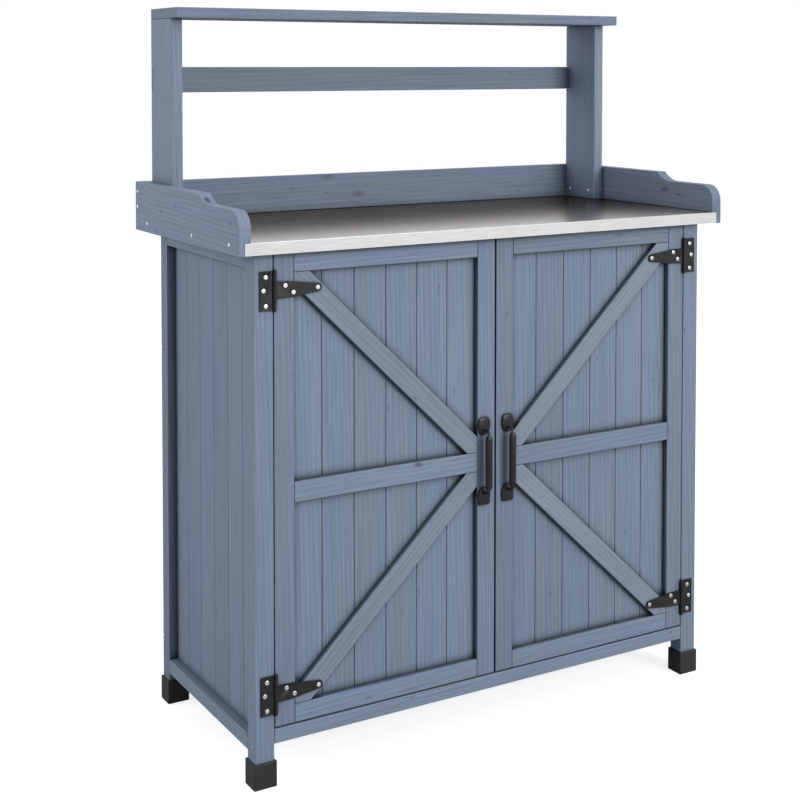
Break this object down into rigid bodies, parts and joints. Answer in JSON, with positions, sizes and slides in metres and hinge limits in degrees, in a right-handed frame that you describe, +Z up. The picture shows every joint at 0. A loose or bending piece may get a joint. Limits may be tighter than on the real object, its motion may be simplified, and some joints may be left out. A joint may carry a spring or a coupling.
{
  "type": "potting bench",
  "caption": "Wooden potting bench: a cabinet with hinged doors on capped legs, a metal-faced worktop with a low surround and a raised shelf on posts.",
  "frame": {"origin": "on the floor at the centre of the footprint, the bottom centre of the bounding box", "axes": "+Z up, +X to the right seen from the front, the doors face -Y"},
  "size_m": [0.98, 0.45, 1.2436],
  "materials": {
    "stained_fir": "blue-grey semi-opaque stain, matt, grain showing",
    "galvanised_steel": "galvanised sheet, satin",
    "black_hinge_steel": "black coated steel, satin",
    "dark_bronze_handle": "dark bronze coating, satin",
    "black_foot_plastic": "moulded, matt"
  },
  "bodies": {
    "bench": {"leg_front_left": "stained_fir", "leg_back_left": "stained_fir", "foot_cap_front_left": "black_foot_plastic", "foot_cap_back_left": "black_foot_plastic", "side_bottom_rail_left": "stained_fir", "side_top_rail_left": "stained_fir", "side_panel_left": "stained_fir", "shelf_cleat_left": "stained_fir", "side_board_left": "stained_fir", "post_left": "stained_fir", "hinge_upper_left_plate": "black_hinge_steel", "hinge_upper_left_pin": "black_hinge_steel", "hinge_lower_left_plate": "black_hinge_steel", "hinge_lower_left_pin": "black_hinge_steel", "leg_front_right": "stained_fir", "leg_back_right": "stained_fir", "foot_cap_front_right": "black_foot_plastic", "foot_cap_back_right": "black_foot_plastic", "side_bottom_rail_right": "stained_fir", "side_top_rail_right": "stained_fir", "side_panel_right": "stained_fir", "shelf_cleat_right": "stained_fir", "side_board_right": "stained_fir", "post_right": "stained_fir", "hinge_upper_right_plate": "black_hinge_steel", "hinge_upper_right_pin": "black_hinge_steel", "hinge_lower_right_plate": "black_hinge_steel", "hinge_lower_right_pin": "black_hinge_steel", "front_bottom_rail": "stained_fir", "back_bottom_rail": "stained_fir", "back_panel": "stained_fir", "floor_panel": "stained_fir", "inner_shelf": "stained_fir", "worktop_board": "stained_fir", "worktop_sheet": "galvanised_steel", "back_board": "stained_fir", "back_rail": "stained_fir", "top_shelf": "stained_fir"},
    "door_left": {"door_left_panel": "stained_fir", "door_left_hinge_stile": "stained_fir", "door_left_meeting_stile": "stained_fir", "door_left_top_rail": "stained_fir", "door_left_bottom_rail": "stained_fir", "door_left_middle_rail": "stained_fir", "door_left_upper_brace": "stained_fir", "door_left_lower_brace": "stained_fir", "door_left_handle": "dark_bronze_handle", "hinge_upper_left_strap": "black_hinge_steel", "hinge_lower_left_strap": "black_hinge_steel"},
    "door_right": {"door_right_panel": "stained_fir", "door_right_hinge_stile": "stained_fir", "door_right_meeting_stile": "stained_fir", "door_right_top_rail": "stained_fir", "door_right_bottom_rail": "stained_fir", "door_right_middle_rail": "stained_fir", "door_right_upper_brace": "stained_fir", "door_right_lower_brace": "stained_fir", "door_right_handle": "dark_bronze_handle", "hinge_upper_right_strap": "black_hinge_steel", "hinge_lower_right_strap": "black_hinge_steel"}
  },
  "joints": [
    {"name": "door_left_hinge", "type": "hinge", "parent": "bench", "child": "door_left", "pos_m": [-0.4196, -0.2043, 0.4665], "axis": [0, 0, -1], "range_deg": [0, 170]},
    {"name": "door_right_hinge", "type": "hinge", "parent": "bench", "child": "door_right", "pos_m": [0.4196, -0.2043, 0.4665], "axis": [0, 0, 1], "range_deg": [0, 170]}
  ]
}
